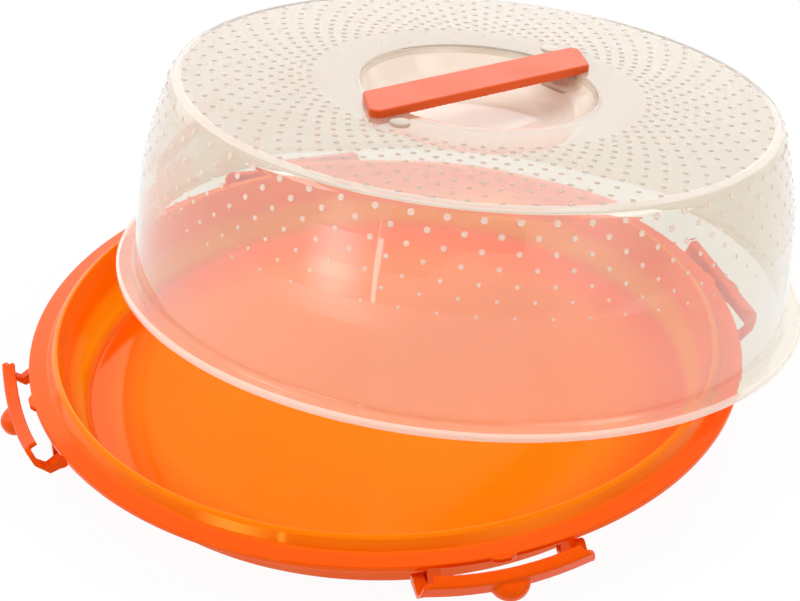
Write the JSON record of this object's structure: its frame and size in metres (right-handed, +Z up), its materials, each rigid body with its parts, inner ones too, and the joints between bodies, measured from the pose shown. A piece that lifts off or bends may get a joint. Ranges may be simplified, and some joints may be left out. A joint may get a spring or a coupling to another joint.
{
  "type": "round cake carrier",
  "caption": "Round cake carrier with a footed tray, a clear domed lid leaning on it, a strap handle set over a recess and swing latches round the rim.",
  "frame": {"origin": "centre of the tray's foot ring, on the table", "axes": "+Z up along the tray's axis; -Y towards the front, +X to the right"},
  "size_m": [0.399, 0.4207, 0.1545],
  "materials": {
    "tray": "glossy orange moulded polypropylene",
    "latch": "satin orange moulded plastic",
    "lid": "clear plastic with fine printed dots",
    "handle": "satin orange moulded plastic"
  },
  "bodies": {
    "tray": {"base_tray": "tray"},
    "front_latch": {"latch_front": "latch"},
    "left_latch": {"latch_left": "latch"},
    "right_latch": {"latch_right": "latch"},
    "back_latch": {"latch_back": "latch"},
    "cover": {"lid": "lid", "carry_handle": "handle"}
  },
  "joints": [
    {"name": "front_latch_hinge", "type": "hinge", "parent": "tray", "child": "front_latch", "pos_m": [0.05192, -0.15978, 0.0214], "axis": [-0.9511, -0.309, 0], "range_deg": [-25, 53]},
    {"name": "left_latch_hinge", "type": "hinge", "parent": "tray", "child": "left_latch", "pos_m": [-0.15978, -0.05192, 0.0214], "axis": [-0.309, 0.9511, 0], "range_deg": [-25, 53]},
    {"name": "right_latch_hinge", "type": "hinge", "parent": "tray", "child": "right_latch", "pos_m": [0.15978, 0.05192, 0.0214], "axis": [0.309, -0.9511, 0], "range_deg": [-25, 53]},
    {"name": "back_latch_hinge", "type": "hinge", "parent": "tray", "child": "back_latch", "pos_m": [-0.05192, 0.15978, 0.0214], "axis": [0.9511, 0.309, 0], "range_deg": [-25, 53]},
    {"name": "lid_lift", "type": "slide", "parent": "tray", "child": "cover", "axis": [0, 0, 1], "range_m": [0, 0.15]}
  ]
}
